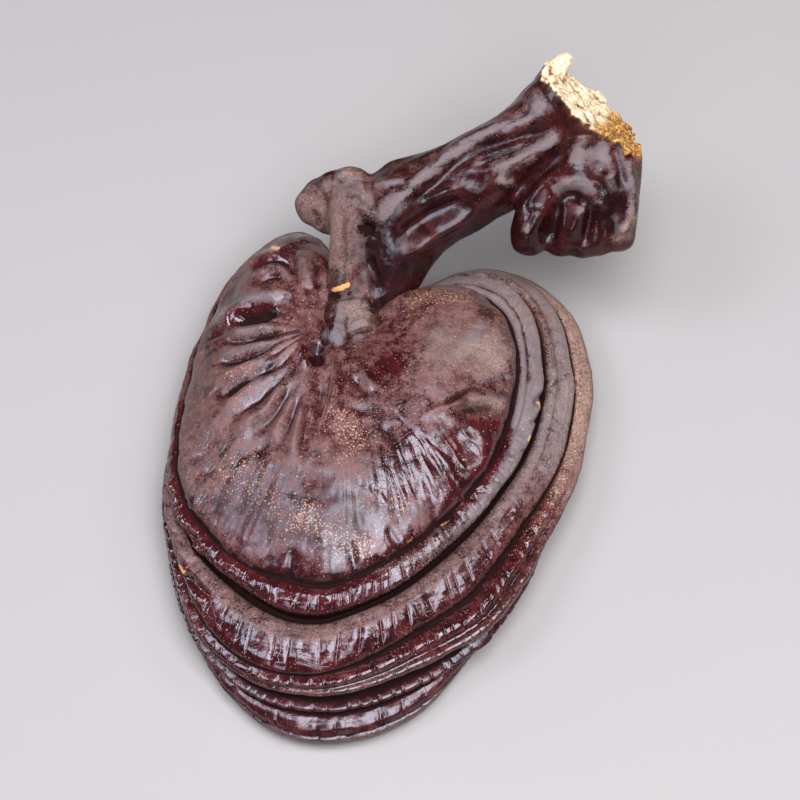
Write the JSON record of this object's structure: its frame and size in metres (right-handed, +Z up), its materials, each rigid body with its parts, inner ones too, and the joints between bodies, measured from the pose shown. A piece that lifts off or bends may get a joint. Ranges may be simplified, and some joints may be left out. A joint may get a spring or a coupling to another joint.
{
  "type": "reishi mushroom",
  "caption": "Dried reishi mushroom: a kidney-shaped lacquered cap with stepped growth bands and a folded side stem torn off at its end.",
  "frame": {"origin": "middle of the mushroom's bounding box, at its base: the plane that the rim of the cap rests on", "axes": "+Z up from the ground through the cap; +Y along the mushroom, from the broad growing edge of the cap to the torn end of the stem; +X across it, towards the side that the stem leans to"},
  "size_m": [0.1361, 0.19, 0.0731],
  "materials": {
    "lacquered_crust": "dark red-brown lacquered crust, glossy with dull dusty patches",
    "lacquered_stem": "dark red-brown lacquered bark, cream where it is torn"
  },
  "bodies": {
    "root": {"cap": "lacquered_crust", "stem": "lacquered_stem"}
  },
  "joints": []
}
